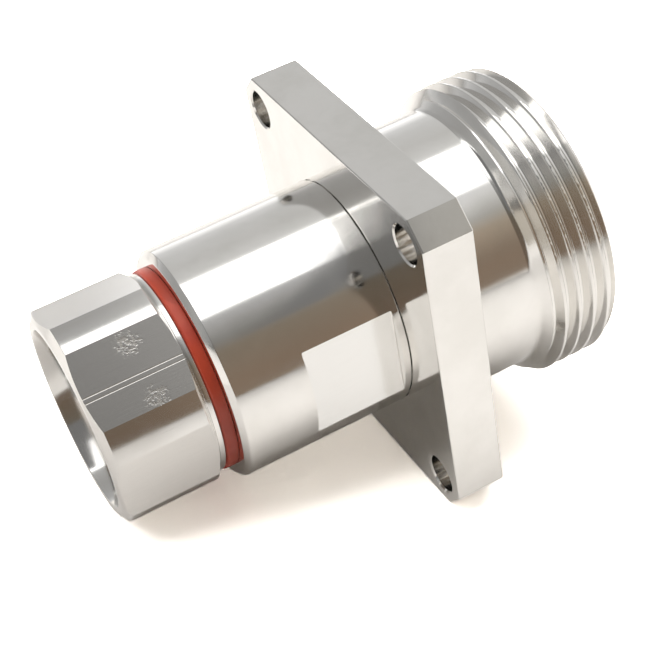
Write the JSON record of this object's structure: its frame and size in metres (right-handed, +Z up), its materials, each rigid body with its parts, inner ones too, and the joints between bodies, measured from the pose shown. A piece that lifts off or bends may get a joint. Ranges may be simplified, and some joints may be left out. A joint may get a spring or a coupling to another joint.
{
  "type": "coaxial panel connector",
  "caption": "Large coaxial panel connector with a square flange, an external mating thread, and a hexagonal clamp nut with a red sealing ring for a corrugated cable.",
  "frame": {"origin": "centre of the square flange's face on the nut side, where the axis of the connector meets it", "axes": "+X along the connector's axis, from the clamp nut towards the mating thread; +Z up, square to one side of the flange; +Y completes the right-handed frame"},
  "size_m": [0.0475, 0.0324, 0.0324],
  "materials": {
    "plated_brass": "bright white plating over brass, polished, with fine turning lines",
    "silvered_contact": "bright silver plating",
    "plated_ring": "plated, satin",
    "white_dielectric": "smooth fluoropolymer, satin",
    "red_silicone": "smooth silicone, semi-gloss",
    "dark_rubber": "smooth rubber",
    "spring_steel": "drawn wire"
  },
  "bodies": {
    "shell": {"front_shell": "plated_brass", "rear_sleeve": "plated_brass", "body_seal": "dark_rubber", "front_bead": "white_dielectric", "rear_bead": "white_dielectric", "centre_contact": "silvered_contact", "contact_cone": "silvered_contact"},
    "clamp": {"clamp_ring": "plated_ring", "garter_spring": "spring_steel", "thrust_washer": "plated_ring"},
    "nut": {"clamp_nut": "plated_brass", "nut_gasket": "red_silicone", "jacket_seal": "red_silicone"}
  },
  "joints": [
    {"name": "nut_travel", "type": "slide", "parent": "shell", "child": "clamp", "axis": [-1, 0, 0], "range_m": [0, 0.00376]},
    {"name": "nut_turn", "type": "hinge", "parent": "clamp", "child": "nut", "pos_m": [-0.02, 0, 0], "axis": [-1, 0, 0], "range_deg": [0, 1350]}
  ],
  "couplings": [
    {"joint": "nut_travel", "follows": "nut_turn", "m_per_rad": 0.00015915}
  ]
}
